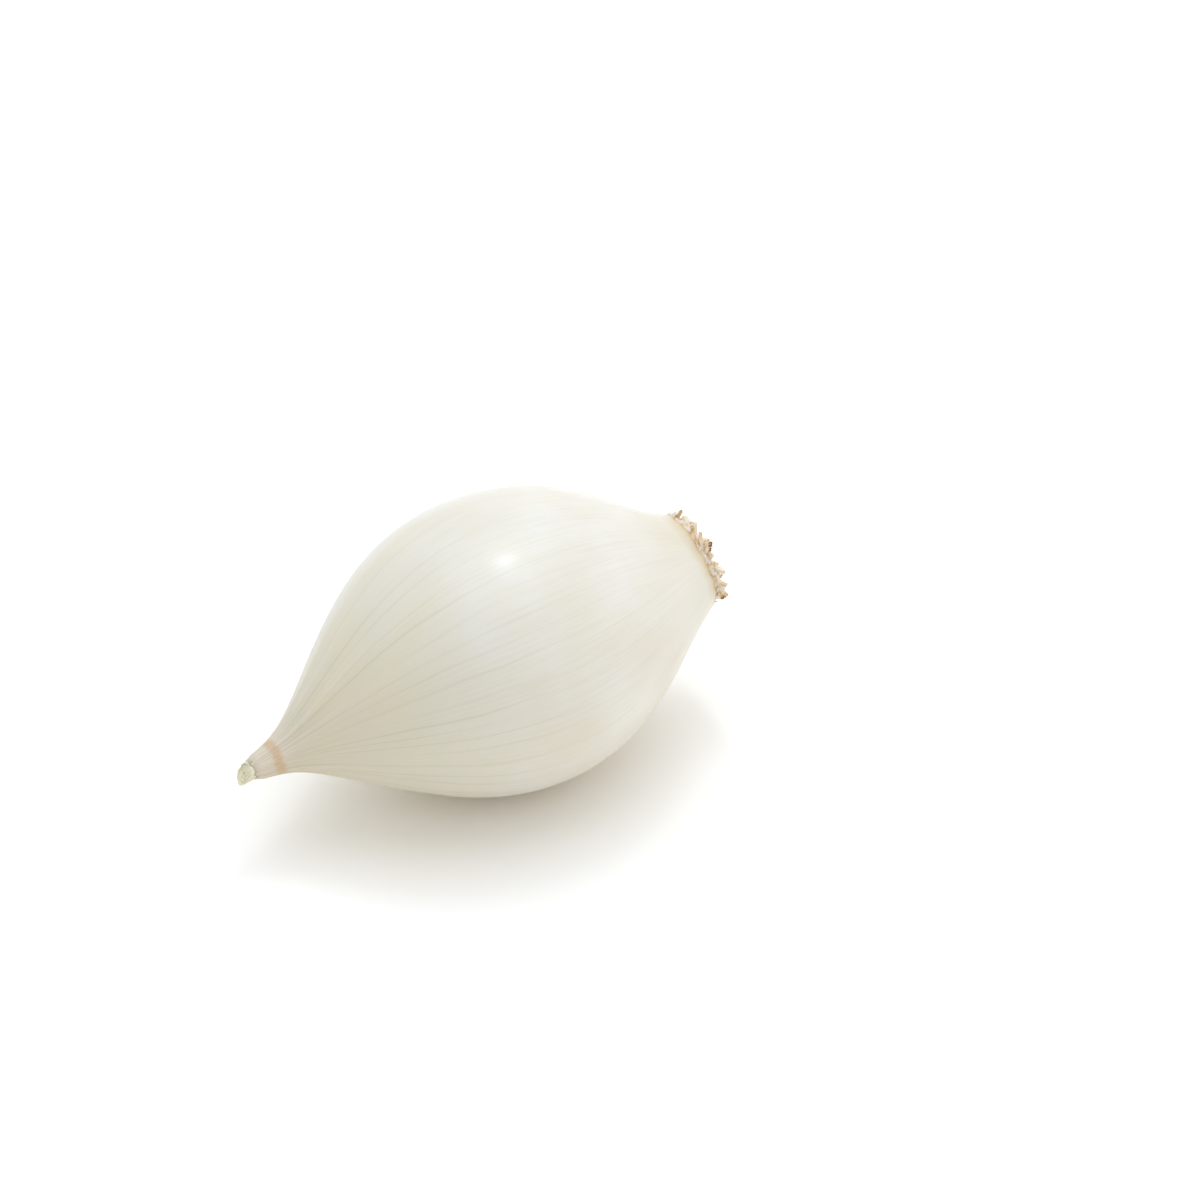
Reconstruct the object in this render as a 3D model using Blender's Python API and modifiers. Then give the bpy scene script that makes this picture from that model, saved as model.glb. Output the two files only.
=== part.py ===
"""A peeled white onion that lies on its side.

The bulb runs from its root rim over the belly into a wrinkled neck. A corky root plate with trimmed roots
sits in its base, and the ends of the inner leaves stand in the cut neck. Each of the three is one solid.

Each piece is modelled upright, root end down, with the bulb's axis along Z and its height measured from the
root rim. An empty then lays the onion down, neck towards -X, with the belly on the plane z = 0.
"""

import math
import random

import bmesh
import bpy
import numpy as np
from mathutils import Vector

MM = 0.001
TURN = 2 * math.pi

# Driving dimensions
BELLY_RADIUS = 35.0 * MM
BULB_HEIGHT = 116.4 * MM
DIP = math.radians(8.6)  # the axis falls this much towards the neck when the onion lies down
FLAT_DEPTH = 0.55 * MM  # how far the belly is pressed flat where it lies
GAP = 0.3 * MM  # between two pieces that touch
SEED = 11

# The bulb's outline, as (height, radius) in shares of the bulb's height and of the belly's radius.
# From the root end: rim, base, hip, belly, shoulder, throat, neck.
OUTLINE = (
    (0.000, 0.335),
    (0.058, 0.456),
    (0.138, 0.661),
    (0.258, 0.890),
    (0.440, 1.000),
    (0.598, 0.877),
    (0.702, 0.680),
    (0.820, 0.381),
    (0.868, 0.256),
    (0.928, 0.136),
    (1.000, 0.076),
)
OUTLINE_RINGS = 46
SIDES = 64

# How far the bulb departs from round, in shares of its radius
LOBES = 0.014  # two or three broad lobes round the belly
BELLY_WRINKLES = 0.0025
NECK_WRINKLES = 0.048
NECK_WRINKLES_START = 0.62  # share of the bulb's height
NECK_WRINKLES_FULL = 0.94

# The axis isn't straight: it arches up at the throat, and falls a little towards the neck's end and the root.
BOW_LIFT = 1.9 * MM
BOW_HEIGHT = 0.70  # the share of the bulb's height where the bow is greatest
BOW_REACH = 0.28
NECK_DROOP = 0.6 * MM
ROOT_DROOP = 1.5 * MM
ROOT_DROOP_REACH = 0.24

# The base isn't square to the axis: it faces a little upwards when the onion lies down.
BASE_SLANT = math.tan(math.radians(4))
SLANT_REACH = 14.0 * MM  # the slant has faded out at this height

# The seat in the bulb's base that holds the root plate
SEAT_RADIUS = 10.4 * MM
SEAT_DEPTH = 1.8 * MM
SEAT_LIP = 0.5 * MM

# The mouth of the neck, where the inner leaves come out
MOUTH_RADIUS = 2.2 * MM
MOUTH_DEPTH = 5.0 * MM
RAGGED_EDGE = 0.45 * MM
RAGGED_REACH = 3.0 * MM

# The root plate
PLATE_DOME = 2.6 * MM
PLATE_RIM_BULGE = 0.45 * MM
PLATE_LUMPS = 0.30 * MM
PLATE_LUMP_TWIST = 0.4 / MM  # the lumps wind round the plate by this angle for each mm outwards
PLATE_RIM_LUMPS = 0.03  # share of the plate's radius
PLATE_SCAR_DEPTH = 0.7 * MM
PLATE_SCAR_RADIUS = 3.0 * MM
PLATE_RINGS = 8
PLATE_SIDES = 44

# The roots stand in rings: number, share of the plate's radius, lean outwards, least and greatest turn
# sideways, greatest thickness and greatest length. Angles in degrees. The first row lies along the rim.
ROOT_RINGS = (
    (11, 1.00, 86, 68, 88, 2.4 * MM, 4.2 * MM),
    (32, 0.95, 76, 0, 65, 2.3 * MM, 2.7 * MM),
    (26, 0.76, 70, 15, 85, 2.1 * MM, 3.0 * MM),
    (18, 0.56, 64, 20, 90, 1.9 * MM, 3.0 * MM),
    (9, 0.33, 44, 0, 60, 1.6 * MM, 1.6 * MM),
)
ROOT_SUNK = 1.5 * MM
ROOT_CURL = 0.45  # share of a root's length
ROOT_LEAN_SPREAD = 10
ROOT_PLACE_SPREAD = 0.3  # share of the space between two roots of a ring
ROOT_RING_SPREAD = 0.04
ROOT_THINNEST = 0.55  # share of the greatest thickness
ROOT_SHORTEST = 0.35  # share of the greatest length
ROOT_POINTS = 4
ROOT_TAPER = 0.35

# The inner leaves
LEAF_STAND_OUT = 1.3 * MM  # beyond the neck's end
LEAF_HOLLOW = 1.3 * MM
LEAF_RAGGED = 0.4 * MM
LEAF_SLANT = 0.75  # the lower side stands out further
LEAF_SIDES = 24


def spline(points, count):
    """Evenly spaced points on the natural cubic spline through the points."""
    knots = np.array(points)
    steps = np.linalg.norm(np.diff(knots, axis=0), axis=1)
    at = np.concatenate([[0], np.cumsum(steps)])
    last = len(knots) - 1
    system = np.eye(last + 1)
    bend = np.zeros_like(knots)
    for i in range(1, last):
        system[i, i - 1 : i + 2] = steps[i - 1], 2 * (steps[i - 1] + steps[i]), steps[i]
        bend[i] = 6 * ((knots[i + 1] - knots[i]) / steps[i] - (knots[i] - knots[i - 1]) / steps[i - 1])
    second = np.linalg.solve(system, bend)

    def place(t):
        i = min(int(np.searchsorted(at, t, side="right")) - 1, last - 1)
        after, before, width = t - at[i], at[i + 1] - t, steps[i]
        cubic = (second[i] * before**3 + second[i + 1] * after**3) / (6 * width)
        line = (knots[i] * before + knots[i + 1] * after) / width
        return cubic + line - (second[i] * before + second[i + 1] * after) * width / 6

    return [place(t) for t in np.linspace(0, at[-1], count)]


def waves(orders, seed):
    """A function of the angle round the axis, from -1 to 1: one wave of each order, at a seeded phase."""
    draw = random.Random(seed)
    phases = [draw.uniform(0, TURN) for _ in orders]

    def height(angle):
        return sum(math.cos(n * angle + p) for n, p in zip(orders, phases)) / len(orders)

    return height


lobes = waves((2, 3), SEED)
wrinkles = waves((9, 13, 16), SEED + 1)
tears = waves((5, 8, 11), SEED + 2)
lumps = waves((4, 7, 9), SEED + 3)


def eased(x):
    """From 0 to 1, with no slope at either end."""
    x = min(max(x, 0.0), 1.0)
    return x * x * (3 - 2 * x)


def swelling(angle, height):
    """What the bulb's radius is multiplied by: broad lobes on the belly, wrinkles that deepen up the neck."""
    share = height / BULB_HEIGHT
    belly = LOBES * eased(share / 0.25) * eased((0.95 - share) / 0.35)
    up_neck = (share - NECK_WRINKLES_START) / (NECK_WRINKLES_FULL - NECK_WRINKLES_START)
    pleats = (BELLY_WRINKLES + NECK_WRINKLES * eased(up_neck)) * eased(share / 0.10)
    return 1 + belly * lobes(angle) + pleats * wrinkles(angle)


def bow(height):
    """How far the axis is moved sideways, towards what is the top when the onion lies down."""
    share = height / BULB_HEIGHT
    arch = BOW_LIFT * math.exp(-(((share - BOW_HEIGHT) / BOW_REACH) ** 2))
    neck_droop = NECK_DROOP * eased((share - BOW_HEIGHT) / (1 - BOW_HEIGHT))
    root_droop = ROOT_DROOP * (1 - eased(share / ROOT_DROOP_REACH))
    return arch - neck_droop - root_droop


def turned(name, profile, sides):
    """A closed solid of revolution about Z, from (radius, height) points that run down its side."""
    mesh = bpy.data.meshes.new(name)
    points = [(radius, 0, height) for radius, height in profile]
    mesh.from_pydata(points, [(i, i + 1) for i in range(len(points) - 1)], [])
    obj = bpy.data.objects.new(name, mesh)
    pieces.objects.link(obj)
    screw = obj.modifiers.new("Turn", "SCREW")
    screw.angle = TURN
    screw.steps = screw.render_steps = sides
    screw.use_merge_vertices = True
    screw.merge_threshold = 0.01 * MM
    return solid_from(obj)


def solid_from(obj):
    """Replaces an object by its evaluated mesh, with the same name and place."""
    name = obj.name
    graph = bpy.context.evaluated_depsgraph_get()
    mesh = bpy.data.meshes.new_from_object(obj.evaluated_get(graph))
    place = obj.matrix_world.copy()
    bpy.data.objects.remove(obj)
    made = bpy.data.objects.new(name, mesh)
    made.matrix_world = place
    pieces.objects.link(made)
    return made


def bent(point):
    """Where a point of the straight, square onion is in the bowed one with the slanted base."""
    x, y, height = point
    slanted = height + x * BASE_SLANT * (1 - eased((height - SEAT_DEPTH) / SLANT_REACH))
    return x + bow(height), y, slanted


def reshape(obj, rule):
    """Gives each vertex the radius and height from rule(angle, radius, height), then bends it."""
    for vertex in obj.data.vertices:
        x, y, height = vertex.co
        angle = math.atan2(y, x)
        radius, height = rule(angle, math.hypot(x, y), height)
        vertex.co = bent((radius * math.cos(angle), radius * math.sin(angle), height))
    obj.data.update()


def finish(obj, colour, roughness, parent):
    """Gives a piece its material and smooth shading, and lays it down with the rest."""
    material = bpy.data.materials.new(obj.name)
    material.use_nodes = True
    shader = material.node_tree.nodes["Principled BSDF"]
    shader.inputs["Base Color"].default_value = (*colour, 1)
    shader.inputs["Roughness"].default_value = roughness
    shader.inputs["Metallic"].default_value = 0
    obj.data.materials.clear()
    obj.data.materials.append(material)
    obj.data.shade_smooth()
    obj.data.set_sharp_from_angle(angle=math.radians(50))
    obj.parent = parent


def make_bulb():
    """The swollen outer scale with its neck, hollowed at the base for the root plate and at the mouth."""
    outline = [(share_r * BELLY_RADIUS, share_h * BULB_HEIGHT) for share_h, share_r in OUTLINE]
    side = [tuple(point) for point in reversed(spline(outline, OUTLINE_RINGS))]
    mouth = [(0, BULB_HEIGHT - MOUTH_DEPTH), (MOUTH_RADIUS, BULB_HEIGHT - MOUTH_DEPTH)]
    mouth += [(MOUTH_RADIUS, BULB_HEIGHT - MOUTH_DEPTH / 2), (MOUTH_RADIUS, BULB_HEIGHT)]
    lip = [(SEAT_RADIUS + SEAT_LIP, 0), (SEAT_RADIUS, SEAT_DEPTH), (0, SEAT_DEPTH)]
    bulb = turned("bulb", mouth + side + lip, SIDES)

    def rule(angle, radius, height):
        torn = eased((height - BULB_HEIGHT + RAGGED_REACH) / RAGGED_REACH)
        scaled = radius * swelling(angle, height) if radius > MOUTH_RADIUS * 1.01 else radius
        return scaled, height + RAGGED_EDGE * torn * (tears(angle) - 1)

    reshape(bulb, rule)
    return bulb


def press_flat(bulb):
    """Slices the lowest part of the belly level, for the onion to lie on."""
    bpy.context.view_layer.update()
    laid = bulb.matrix_world
    floor = min((laid @ vertex.co).z for vertex in bulb.data.vertices) + FLAT_DEPTH
    on_floor = laid.inverted() @ Vector((0, 0, floor))
    down = (laid.to_3x3().inverted() @ Vector((0, 0, -1))).normalized()
    mesh = bmesh.new()
    mesh.from_mesh(bulb.data)
    cut = bmesh.ops.bisect_plane(
        mesh,
        geom=mesh.verts[:] + mesh.edges[:] + mesh.faces[:],
        dist=0.01 * MM,
        plane_co=on_floor,
        plane_no=down,
        clear_outer=True,
    )
    rim = [edge for edge in cut["geom_cut"] if isinstance(edge, bmesh.types.BMEdge)]
    for vertex in {vertex for edge in rim for vertex in edge.verts}:
        vertex.co -= down * (vertex.co - on_floor).dot(down)
    bmesh.ops.edgeloop_fill(mesh, edges=rim)
    bmesh.ops.recalc_face_normals(mesh, faces=mesh.faces)
    mesh.to_mesh(bulb.data)
    mesh.free()


def plate_profile():
    """The root plate's side: a low, steep-sided dome outside, a shoulder in the seat, a flat back."""
    seat = SEAT_RADIUS - GAP
    rim = seat + SEAT_LIP
    dome = [(0, -PLATE_DOME - GAP)]
    for i in range(1, PLATE_RINGS + 1):
        slope = math.radians(90) * i / PLATE_RINGS
        radius = (rim + PLATE_RIM_BULGE) * math.sin(slope) ** 0.4
        dome.append((radius, -PLATE_DOME * math.cos(slope) - GAP))
    back = [(rim - GAP, GAP), (seat, SEAT_DEPTH - GAP), (0, SEAT_DEPTH - GAP)]
    return list(reversed(dome + back))


def root_line(angle, share, lean, turn, thickness, length, draw):
    """The points along one root, from inside the plate outwards. It leans out, is turned sideways,
    and curls away from the bulb."""
    out = Vector((math.cos(angle), math.sin(angle), 0))
    side = Vector((-math.sin(angle), math.cos(angle), 0))
    dome = PLATE_DOME * math.sqrt(max(1 - share**4, 0)) - PLATE_SCAR_DEPTH * (1 - share) ** 2
    foot = out * (SEAT_RADIUS * share) - Vector((0, 0, max(dome, thickness / 2 + 2 * GAP)))
    flat = out * math.cos(turn) + side * math.sin(turn)
    heading = flat * math.sin(lean) - Vector((0, 0, math.cos(lean)))
    curl = Vector((draw.uniform(-1, 1), draw.uniform(-1, 1), draw.uniform(-1, 0))) * ROOT_CURL
    start = foot - heading * ROOT_SUNK
    places = []
    for i in range(ROOT_POINTS):
        along = i / (ROOT_POINTS - 1)
        places.append(start + heading * (length + ROOT_SUNK) * along + curl * length * along**2)
    return [bent(place) for place in places]


def root_stub(name, line, thickness):
    """One trimmed root as a closed tube along the line, a little thinner at its end."""
    curve = bpy.data.curves.new(name, "CURVE")
    curve.dimensions = "3D"
    curve.bevel_depth = thickness / 2
    curve.bevel_resolution = 1
    curve.use_fill_caps = True
    path = curve.splines.new("POLY")
    path.points.add(len(line) - 1)
    for i, point in enumerate(path.points):
        point.co = (*line[i], 1)
        point.radius = 1 - ROOT_TAPER * i / (len(line) - 1)
    obj = bpy.data.objects.new(name, curve)
    pieces.objects.link(obj)
    stub = solid_from(obj)
    mesh = bmesh.new()
    mesh.from_mesh(stub.data)
    bmesh.ops.remove_doubles(mesh, verts=mesh.verts, dist=0.001 * MM)
    bmesh.ops.recalc_face_normals(mesh, faces=mesh.faces)
    mesh.to_mesh(stub.data)
    mesh.free()
    return stub


def grow_roots():
    """All the roots, ring by ring, in a collection of their own."""
    draw = random.Random(SEED)
    roots = bpy.data.collections.new("roots")
    bpy.context.scene.collection.children.link(roots)
    for count, share, lean, least_turned, most_turned, thickest, longest in ROOT_RINGS:
        for i in range(count):
            angle = TURN * (i + draw.uniform(-ROOT_PLACE_SPREAD, ROOT_PLACE_SPREAD)) / count
            leaning = math.radians(lean + draw.uniform(-ROOT_LEAN_SPREAD, ROOT_LEAN_SPREAD))
            turn = math.radians(draw.uniform(least_turned, most_turned)) * draw.choice((-1, 1))
            placed = share + draw.uniform(-ROOT_RING_SPREAD, ROOT_RING_SPREAD)
            thickness = thickest * draw.uniform(ROOT_THINNEST, 1)
            length = longest * draw.uniform(ROOT_SHORTEST, 1)
            line = root_line(angle, placed, leaning, turn, thickness, length, draw)
            stub = root_stub("root", line, thickness)
            pieces.objects.unlink(stub)
            roots.objects.link(stub)
    return roots


def make_root_plate():
    """The corky plate with its roots, fused into one body."""
    plate = turned("root_plate", plate_profile(), PLATE_SIDES)

    def rule(angle, radius, height):
        outside = eased(-height / PLATE_DOME)
        scar = PLATE_SCAR_DEPTH * math.exp(-((radius / PLATE_SCAR_RADIUS) ** 2))
        ripple = PLATE_LUMPS * lumps(angle + PLATE_LUMP_TWIST * radius)
        return radius * (1 + PLATE_RIM_LUMPS * outside * lumps(angle)), height + outside * (scar - ripple)

    reshape(plate, rule)
    roots = grow_roots()
    join = plate.modifiers.new("Join roots", "BOOLEAN")
    join.operation = "UNION"
    join.operand_type = "COLLECTION"
    join.collection = roots
    join.solver = "EXACT"
    plate = solid_from(plate)
    for stub in list(roots.objects):
        bpy.data.objects.remove(stub)
    bpy.data.collections.remove(roots)
    return plate


def make_neck_leaves():
    """The ends of the inner leaves: a plug in the mouth whose torn rim stands round a hollow."""
    radius = MOUTH_RADIUS - GAP
    foot = BULB_HEIGHT - MOUTH_DEPTH + GAP
    top = BULB_HEIGHT + LEAF_STAND_OUT
    profile = [
        (0, top - LEAF_HOLLOW),
        (0.40 * radius, top - 0.8 * LEAF_HOLLOW),
        (0.70 * radius, top - 0.3 * LEAF_HOLLOW),
        (0.92 * radius, top),
        (1.05 * radius, top - 0.3 * LEAF_HOLLOW),
        (radius, BULB_HEIGHT),
        (radius, BULB_HEIGHT - 3 * RAGGED_EDGE),
        (radius, foot),
        (0, foot),
    ]
    leaves = turned("neck_leaves", profile, LEAF_SIDES)

    def rule(angle, radius, height):
        torn = eased((height - BULB_HEIGHT) / LEAF_STAND_OUT)
        slant = LEAF_SLANT * radius * math.cos(angle)
        return radius, height + torn * (LEAF_RAGGED * tears(angle) - slant)

    reshape(leaves, rule)
    return leaves


def centre_over_origin(onion, parts):
    """Moves the laid onion so that its box stands on z = 0 with its middle at x = 0 and y = 0."""
    bpy.context.view_layer.update()
    points = np.array([part.matrix_world @ v.co for part in parts for v in part.data.vertices])
    low, high = points.min(axis=0), points.max(axis=0)
    onion.location = -(low[0] + high[0]) / 2, -(low[1] + high[1]) / 2, -low[2]


for old in list(bpy.data.objects):
    bpy.data.objects.remove(old)

pieces = bpy.data.collections.new("white_onion")
bpy.context.scene.collection.children.link(pieces)

onion = bpy.data.objects.new("onion_laid_down", None)
onion.rotation_euler = (0, -(math.pi / 2 + DIP), 0)
pieces.objects.link(onion)

bulb = make_bulb()
finish(bulb, (0.80, 0.77, 0.66), 0.38, onion)
press_flat(bulb)

root_plate = make_root_plate()
finish(root_plate, (0.64, 0.51, 0.37), 0.85, onion)

neck_leaves = make_neck_leaves()
finish(neck_leaves, (0.62, 0.60, 0.42), 0.70, onion)

centre_over_origin(onion, [bulb, root_plate, neck_leaves])
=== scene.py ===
import math
import random

import bpy
import numpy as np
from mathutils import Matrix, Vector, noise


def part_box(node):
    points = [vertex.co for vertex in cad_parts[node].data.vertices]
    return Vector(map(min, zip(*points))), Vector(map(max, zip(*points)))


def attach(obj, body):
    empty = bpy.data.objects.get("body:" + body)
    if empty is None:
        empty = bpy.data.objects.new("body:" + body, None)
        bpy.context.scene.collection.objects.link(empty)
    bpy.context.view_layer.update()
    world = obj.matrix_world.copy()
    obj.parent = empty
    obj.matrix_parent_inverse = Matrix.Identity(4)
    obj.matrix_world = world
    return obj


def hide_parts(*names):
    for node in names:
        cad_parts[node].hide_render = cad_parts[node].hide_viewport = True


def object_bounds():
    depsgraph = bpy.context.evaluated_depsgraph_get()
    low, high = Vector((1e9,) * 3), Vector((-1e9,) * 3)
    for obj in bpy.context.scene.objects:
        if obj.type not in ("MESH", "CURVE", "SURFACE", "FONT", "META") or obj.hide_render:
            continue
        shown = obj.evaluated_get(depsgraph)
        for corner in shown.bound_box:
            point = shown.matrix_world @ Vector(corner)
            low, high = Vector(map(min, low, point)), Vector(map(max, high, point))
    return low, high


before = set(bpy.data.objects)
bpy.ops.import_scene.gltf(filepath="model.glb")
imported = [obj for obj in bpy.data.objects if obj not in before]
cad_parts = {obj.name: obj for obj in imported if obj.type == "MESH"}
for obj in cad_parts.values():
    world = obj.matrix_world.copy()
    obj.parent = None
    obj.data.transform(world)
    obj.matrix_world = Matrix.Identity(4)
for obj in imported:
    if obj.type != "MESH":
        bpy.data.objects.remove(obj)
solid_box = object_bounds()


# The bulb
# The swollen outer scale of a white onion. It grew as one piece, from the root rim over the belly into the
# wrinkled neck. Its dry skins are peeled off, so that the waxy, slightly translucent flesh shows, with the
# fine veins that run from the neck towards the roots.

MM = 0.001
TURN = 2 * math.pi
SEED = 11

BELLY_RADIUS = 35.0 * MM
BULB_HEIGHT = 116.4 * MM
DIP = math.radians(8.6)  # the axis falls this much towards the neck
FLAT_DEPTH = 0.55 * MM  # the belly is pressed flat where it lies

# Height and radius, in shares of the bulb's own: rim, base, hip, belly, shoulder, throat and neck
OUTLINE = (
    (0.000, 0.335),
    (0.058, 0.456),
    (0.138, 0.661),
    (0.258, 0.890),
    (0.440, 1.000),
    (0.598, 0.877),
    (0.702, 0.680),
    (0.820, 0.381),
    (0.868, 0.256),
    (0.928, 0.136),
    (1.000, 0.076),
)
BULB_RINGS = 200
BULB_SIDES = 384

BOW_LIFT = 1.9 * MM
BOW_HEIGHT = 0.70
BOW_REACH = 0.28
NECK_DROOP = 0.6 * MM
ROOT_DROOP = 1.5 * MM
ROOT_DROOP_REACH = 0.24
BASE_SLANT = math.tan(math.radians(4))
SLANT_REACH = 14.0 * MM

SEAT_RADIUS = 10.4 * MM
SEAT_DEPTH = 1.8 * MM
SEAT_LIP = 0.5 * MM
MOUTH_RADIUS = 2.2 * MM
MOUTH_DEPTH = 5.0 * MM
MOUTH_STEPS = 8
RAGGED_EDGE = 0.45 * MM
RAGGED_REACH = 3.0 * MM

# How far the surface goes in and out, in shares of the radius
LOBES = 0.014
BELLY_WRINKLES = 0.0025
NECK_WRINKLES = 0.036
FINE_WRINKLES = 0.018
# From where to where along the bulb each grows from nothing to its full size, in shares of the bulb's height
LOBES_GROW = (0.00, 0.25)
LOBES_FADE = (0.95, 0.60)
WRINKLES_GROW = (0.00, 0.10)
NECK_NARROWS = (0.62, 0.94)
FINE_WRINKLES_GROW = (0.80, 0.96)
GROOVES_GROW = (0.40, 0.75)

VEIN_COUNT = 47
VEIN_GROOVE = 0.04 * MM
DIMPLES = 0.07 * MM  # shallow unevenness of the flesh
DIMPLE_SIZE = 9.0 * MM
NECK_END_TAPER = 0.34 * MM  # the cut skins are thin at the neck's end
NECK_END = 2.0 * MM
RIM_WAVES = 0.30 * MM  # the edge of the flesh round the root plate is uneven
RIM_REACH = 3.0 * MM
OFF_WALL = 1.01  # what is this much wider than a hole isn't its wall
# Each row bends the spacing of the veins: how many times round, by how much, at what phase
VEIN_WANDER = ((2, 0.055, 1.3), (5, 0.040, 0.4), (11, 0.024, 2.1))


def eased(x):
    """From 0 to 1, with no slope at either end."""
    x = np.clip(x, 0, 1)
    return x * x * (3 - 2 * x)


def grown(x, start, full):
    """From 0 at the start to 1 where it is full, with no slope at either end."""
    return eased((x - start) / (full - start))


def waves(orders, seed):
    """A function of the angle round the axis, from -1 to 1: one wave of each order, at a seeded phase."""
    draw = random.Random(seed)
    phases = [draw.uniform(0, TURN) for _ in orders]

    def height(angle):
        return sum(np.cos(n * angle + p) for n, p in zip(orders, phases)) / len(orders)

    return height


def spline(points, count):
    """Evenly spaced points on the natural cubic spline through the points."""
    knots = np.array(points)
    steps = np.linalg.norm(np.diff(knots, axis=0), axis=1)
    at = np.concatenate([[0], np.cumsum(steps)])
    last = len(knots) - 1
    system = np.eye(last + 1)
    bend = np.zeros_like(knots)
    for i in range(1, last):
        system[i, i - 1 : i + 2] = steps[i - 1], 2 * (steps[i - 1] + steps[i]), steps[i]
        bend[i] = 6 * ((knots[i + 1] - knots[i]) / steps[i] - (knots[i] - knots[i - 1]) / steps[i - 1])
    second = np.linalg.solve(system, bend)
    t = np.linspace(0, at[-1], count)
    i = np.minimum(np.searchsorted(at, t, side="right") - 1, last - 1)
    after, before, width = (t - at[i])[:, None], (at[i + 1] - t)[:, None], steps[i][:, None]
    cubic = (second[i] * before**3 + second[i + 1] * after**3) / (6 * width)
    line = (knots[i] * before + knots[i + 1] * after) / width
    return cubic + line - (second[i] * before + second[i + 1] * after) * width / 6


def bent(points):
    """Moves points of the straight, square onion to where they are in the bowed one with the slanted base."""
    x, y, height = np.array(points).T
    slanted = height + x * BASE_SLANT * (1 - eased((height - SEAT_DEPTH) / SLANT_REACH))
    share = height / BULB_HEIGHT
    arch = BOW_LIFT * np.exp(-(((share - BOW_HEIGHT) / BOW_REACH) ** 2))
    neck_droop = NECK_DROOP * eased((share - BOW_HEIGHT) / (1 - BOW_HEIGHT))
    root_droop = ROOT_DROOP * (1 - eased(share / ROOT_DROOP_REACH))
    return np.stack([x + arch - neck_droop - root_droop, y, slanted], axis=1)


def revolved(profile, sides, shape):
    """The points, faces and growth of a closed solid turned about Z. The profile is (radius, height) points
    that start and end on the axis, and shape(angle, radius, height) gives each its own radius and height, and
    a mark. Growth is each point's direction round the axis and its mark."""
    profile = np.array(profile)
    angle, ring = np.meshgrid(np.arange(sides) * TURN / sides, np.arange(1, len(profile) - 1))
    radius, height, mark = shape(angle, profile[ring, 0], profile[ring, 1])
    around = np.stack([radius * np.cos(angle), radius * np.sin(angle), height], axis=2).reshape(-1, 3)
    points = np.vstack([around, [(0, 0, height[0].mean()), (0, 0, height[-1].mean())]])
    growth = np.stack([np.cos(angle), np.sin(angle), mark], axis=2).reshape(-1, 3)
    growth = np.vstack([growth, [(1, 0, mark[0].mean()), (1, 0, mark[-1].mean())]])
    faces = []
    for row in range(len(profile) - 3):
        here, below = row * sides, (row + 1) * sides
        for i in range(sides):
            j = (i + 1) % sides
            faces.append((here + i, below + i, below + j, here + j))
    first, last = len(around), len(around) + 1
    end = (len(profile) - 3) * sides
    for i in range(sides):
        j = (i + 1) % sides
        faces.append((first, i, j))
        faces.append((last, end + j, end + i))
    return points, faces, growth


lobes = waves((2, 3), SEED)
wrinkles = waves((9, 13, 16), SEED + 1)
tears = waves((5, 8, 11), SEED + 2)
fine_wrinkles = waves((21, 29, 37, 46), SEED + 4)
fine_tears = waves((19, 31, 47), SEED + 5)
rim_waves = waves((5, 9, 14, 22), SEED + 8)


def vein_lines(angle):
    """1 on a vein and 0 between veins."""
    wandered = angle + sum(size * np.sin(times * angle + phase) for times, size, phase in VEIN_WANDER)
    return np.clip(np.cos(VEIN_COUNT * wandered), 0, 1) ** 3


def uneven(points, size, seed):
    """Uneven ground at the points, from about -1 to 1, with swellings of that size."""
    return np.array([noise.noise(Vector(point) / size + Vector((seed, 0, 0))) for point in points])


def around_axis(angle, radius, height):
    """The points at those angles, radii and heights, as rows."""
    return np.stack([radius * np.cos(angle), radius * np.sin(angle), height], axis=2).reshape(-1, 3)


def bulb_shape(angle, radius, height):
    """The surface of the bulb: lobes, the wrinkles and veins towards the neck, and its two uneven edges."""
    share = height / BULB_HEIGHT
    belly = LOBES * grown(share, *LOBES_GROW) * grown(share, *LOBES_FADE) * lobes(angle)
    up_neck = grown(share, *NECK_NARROWS)
    pleats = (BELLY_WRINKLES + NECK_WRINKLES * up_neck) * grown(share, *WRINKLES_GROW) * wrinkles(angle)
    creases = FINE_WRINKLES * grown(share, *FINE_WRINKLES_GROW) * fine_wrinkles(angle)
    groove = VEIN_GROOVE * vein_lines(angle) * grown(share, *GROOVES_GROW) * (1 - up_neck)
    dimples = DIMPLES * uneven(around_axis(angle, radius, height), DIMPLE_SIZE, 3).reshape(angle.shape)
    skin = radius * (1 + belly + pleats + creases) - groove + dimples * (1 - up_neck)
    skin = skin - NECK_END_TAPER * grown(height, BULB_HEIGHT - NECK_END, BULB_HEIGHT)
    torn = grown(height, BULB_HEIGHT - RAGGED_REACH, BULB_HEIGHT)
    edge = RAGGED_EDGE * torn * (tears(angle) - 1 + 0.5 * (fine_tears(angle) - 1))
    on_skin = (radius > MOUTH_RADIUS * OFF_WALL) & (height > -0.01 * MM)
    at_rim = eased(1 - np.abs(height) / RIM_REACH) * (radius > SEAT_RADIUS * OFF_WALL)
    return np.where(on_skin, skin, radius), height + edge + RIM_WAVES * at_rim * rim_waves(angle), share


def bulb_profile():
    """From inside the neck's mouth over the bulb to the rim, round its lip, into the root plate's seat."""
    side = spline([(r * BELLY_RADIUS, h * BULB_HEIGHT) for h, r in OUTLINE], BULB_RINGS)[::-1]
    deep = BULB_HEIGHT - MOUTH_DEPTH
    mouth = [(0, deep)]
    mouth += [(MOUTH_RADIUS, deep + MOUTH_DEPTH * i / MOUTH_STEPS) for i in range(MOUTH_STEPS)]
    mouth += [(MOUTH_RADIUS, BULB_HEIGHT - 0.2 * MM)]
    rim = side[-1][0]
    lip = [(rim - 0.25 * MM, 0.02 * MM), (SEAT_RADIUS + SEAT_LIP, 0.25 * MM), (SEAT_RADIUS, SEAT_DEPTH)]
    return mouth + [tuple(point) for point in side] + lip + [(0, SEAT_DEPTH)]


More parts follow.
